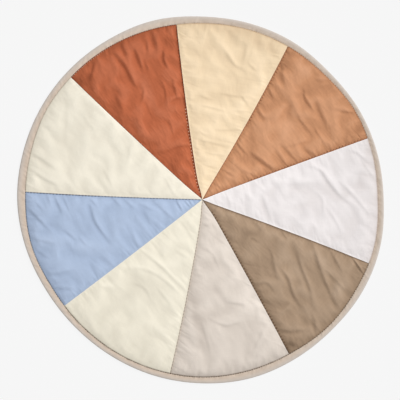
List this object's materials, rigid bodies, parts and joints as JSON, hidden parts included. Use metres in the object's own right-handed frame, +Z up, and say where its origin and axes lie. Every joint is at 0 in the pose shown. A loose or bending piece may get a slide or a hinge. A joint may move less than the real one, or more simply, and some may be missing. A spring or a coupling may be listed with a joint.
{
  "type": "baby play mat",
  "caption": "Round quilted baby play mat of padded wedge panels in plain colours, sewn together like cake slices inside a narrow bias binding.",
  "frame": {"origin": "middle of the mat's box on the surface that it lies on", "axes": "+Z up through the mat, +X to the right and +Y to the back as the mat is seen from above"},
  "size_m": [1.0001, 1.0012, 0.0115],
  "materials": {
    "caramel_cotton": "matt crinkled plain weave",
    "butter_cotton": "matt crinkled plain weave",
    "rust_cotton": "matt crinkled plain weave",
    "cream_cotton": "matt crinkled plain weave",
    "blue_cotton": "matt crinkled plain weave",
    "greige_cotton": "matt crinkled plain weave",
    "taupe_cotton": "matt crinkled plain weave",
    "white_cotton": "matt crinkled plain weave",
    "binding_cotton": "matt folded plain weave"
  },
  "bodies": {
    "root": {"panel_caramel": "caramel_cotton", "panel_butter": "butter_cotton", "panel_rust": "rust_cotton", "panel_cream_upper": "cream_cotton", "panel_blue": "blue_cotton", "panel_cream_lower": "cream_cotton", "panel_greige": "greige_cotton", "panel_taupe": "taupe_cotton", "panel_white": "white_cotton", "binding": "binding_cotton"}
  },
  "joints": []
}
